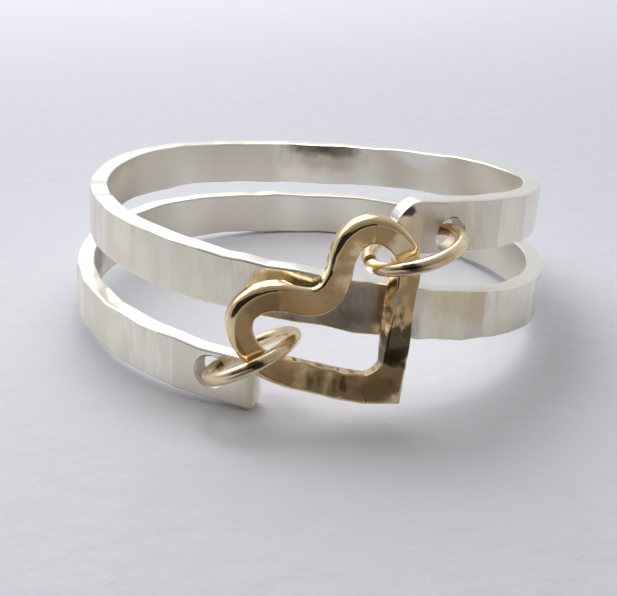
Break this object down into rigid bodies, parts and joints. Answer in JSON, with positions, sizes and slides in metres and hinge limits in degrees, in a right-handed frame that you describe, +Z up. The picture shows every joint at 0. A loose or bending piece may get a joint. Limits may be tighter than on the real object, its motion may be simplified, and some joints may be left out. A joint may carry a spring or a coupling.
{
  "type": "heart ring",
  "caption": "Hammered flat-strip wrap ring, closed at the front by an open gold heart held on small wire jump rings.",
  "frame": {"origin": "centre of the footprint of the whole ring, on the surface that it rests on", "axes": "+Z up from that surface and, within four degrees, along the finger; the heart is at the front, towards -Y; +X to the wearer's left as seen from the front"},
  "size_m": [0.0194, 0.0208, 0.0074],
  "materials": {
    "silver_strip": "hammered sterling silver, soft polish on the outer face, duller inside",
    "gold_wire": "polished pale yellow gold, the heart forged flat with round edges"
  },
  "bodies": {
    "root": {"wrap_band": "silver_strip", "heart_link": "gold_wire", "upper_jump_ring": "gold_wire", "lower_jump_ring": "gold_wire"}
  },
  "joints": []
}
